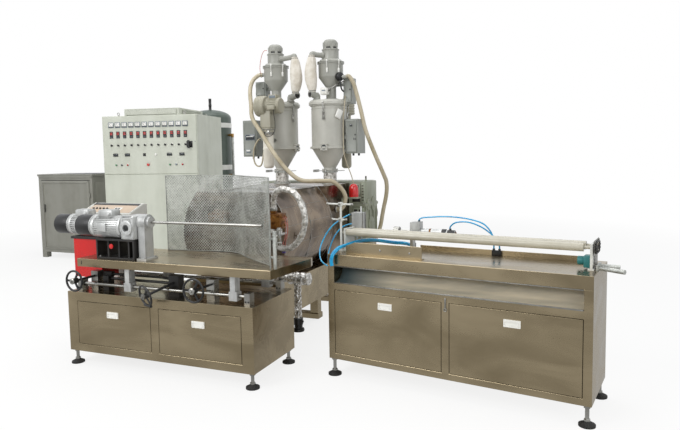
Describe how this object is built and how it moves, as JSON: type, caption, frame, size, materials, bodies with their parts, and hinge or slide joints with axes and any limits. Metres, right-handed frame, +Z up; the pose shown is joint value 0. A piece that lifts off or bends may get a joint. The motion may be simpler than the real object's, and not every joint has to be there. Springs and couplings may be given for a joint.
{
  "type": "plastic extruder line",
  "caption": "Melt-blown filter tube line: extruder with hopper dryers, winding bench with spindle drive, cutting bench with rollers, cabinets and air tank.",
  "frame": {"origin": "on the floor under the extruder's centre plane, in the sole of its front cross foot", "axes": "+X along the winder bench to the right, +Y away from the operator, +Z up"},
  "size_m": [8.163, 5.2095, 2.7114],
  "materials": {
    "stainless": "brushed",
    "bright_steel": "ground and polished",
    "white_plastic": "moulded",
    "rubber": "matt",
    "cast_aluminium": "cast, painted silver",
    "black_steel": "satin",
    "black_plastic": "moulded",
    "red_paint": "gloss",
    "white_enamel": "semi-gloss",
    "galvanised": "spangled zinc",
    "heat_steel": "heat-tinted",
    "lagging": "glass tape and foil",
    "grey_enamel": "satin",
    "cream_enamel": "satin",
    "filter_cloth": "woven",
    "hose_plastic": "ribbed",
    "green_enamel": "satin",
    "red_lens": "clear red",
    "roller_sleeve": "turned sleeve",
    "blue_tube": "drawn tube",
    "control_enamel": "textured",
    "side_enamel": "satin",
    "tank_enamel": "satin"
  },
  "bodies": {
    "root": {"winder_cabinet": "stainless", "bench_panels": "stainless", "pull_handles": "white_plastic", "bench_feet": "rubber", "winder_rails": "bright_steel", "screw_bars": "black_steel", "operator_console": "white_enamel", "extruder_base": "stainless", "barrel_housing": "stainless", "die_heads": "heat_steel", "hot_air_hose": "lagging", "foil_pipe": "lagging", "dryer_left": "grey_enamel", "dryer_right": "grey_enamel", "loader_left": "grey_enamel", "loader_right": "grey_enamel", "dryer_blowers": "cream_enamel", "filter_bags": "filter_cloth", "exhaust_elbows": "grey_enamel", "dryer_controls": "grey_enamel", "feed_throats": "galvanised", "suction_hoses": "hose_plastic", "gear_reducers": "green_enamel", "drive_motors": "black_steel", "warning_lamp": "red_lens", "cutter_cabinet": "stainless", "cutter_chute": "stainless", "cutter_table": "stainless", "side_guard": "stainless", "roller_stands": "white_enamel", "roller_chain": "bright_steel", "post_stand": "white_enamel", "lift_cylinder": "cast_aluminium", "push_cylinder": "cast_aluminium", "air_hoses": "blue_tube", "guide_tubes": "galvanised", "control_cabinet": "control_enamel", "panel_instruments": "black_plastic", "side_cabinet": "side_enamel", "air_tank": "tank_enamel"},
    "table": {"table_slide": "cast_aluminium", "winder_table": "stainless", "drive_bracket": "red_paint", "motor_base": "black_steel", "gear_motors": "cast_aluminium", "fan_covers": "black_plastic", "gearboxes": "cast_aluminium", "spindle_bearing": "cast_aluminium", "mesh_guard": "galvanised"},
    "spindle": {"spindle": "bright_steel"},
    "wheel_left": {"handwheel_left": "black_plastic"},
    "wheel_middle": {"handwheel_middle": "black_plastic"},
    "wheel_right": {"handwheel_right": "black_plastic"},
    "roller_front": {"roller_front": "roller_sleeve"},
    "roller_rear": {"roller_rear": "roller_sleeve"},
    "pusher": {"push_rod": "bright_steel"},
    "gate_left": {"gate_left": "bright_steel"},
    "gate_right": {"gate_right": "bright_steel"},
    "isolator": {"isolator_handle": "black_plastic"}
  },
  "joints": [
    {"name": "table_slide_x", "type": "slide", "parent": "root", "child": "table", "axis": [1, 0, 0], "range_m": [-0.08, 0.05]},
    {"name": "spindle_turn", "type": "hinge", "parent": "table", "child": "spindle", "pos_m": [0.2, -0.93, 1.083], "axis": [1, 0, 0], "continuous": true},
    {"name": "wheel_left_turn", "type": "hinge", "parent": "root", "child": "wheel_left", "pos_m": [-0.694, -1.15, 0.663], "axis": [0, 1, 0], "continuous": true},
    {"name": "wheel_middle_turn", "type": "hinge", "parent": "root", "child": "wheel_middle", "pos_m": [-0.055, -1.15, 0.6], "axis": [0.3566, 0.9035, 0.2378], "continuous": true},
    {"name": "wheel_right_turn", "type": "hinge", "parent": "root", "child": "wheel_right", "pos_m": [0.343, -1.15, 0.664], "axis": [0, 1, 0], "continuous": true},
    {"name": "roller_front_turn", "type": "hinge", "parent": "root", "child": "roller_front", "pos_m": [2.00175, -0.56933, 0.99], "axis": [0.9873, -0.1588, 0], "continuous": true},
    {"name": "roller_rear_turn", "type": "hinge", "parent": "root", "child": "roller_rear", "pos_m": [2.01509, -0.48639, 0.99], "axis": [0.9873, -0.1588, 0], "continuous": true},
    {"name": "pusher_slide", "type": "slide", "parent": "root", "child": "pusher", "axis": [-0.9873, 0.1588, 0], "range_m": [0, 0.08]},
    {"name": "gate_left_slide", "type": "slide", "parent": "root", "child": "gate_left", "axis": [-1, 0, 0], "range_m": [0, 0.1]},
    {"name": "gate_right_slide", "type": "slide", "parent": "root", "child": "gate_right", "axis": [-1, 0, 0], "range_m": [0, 0.1]},
    {"name": "isolator_turn", "type": "hinge", "parent": "root", "child": "isolator", "pos_m": [-2.16807, 2.29634, 1.712], "axis": [0.2147, -0.9767, 0], "range_deg": [-90, 0]}
  ],
  "couplings": [
    {"joint": "roller_rear_turn", "follows": "roller_front_turn", "ratio": 1}
  ]
}
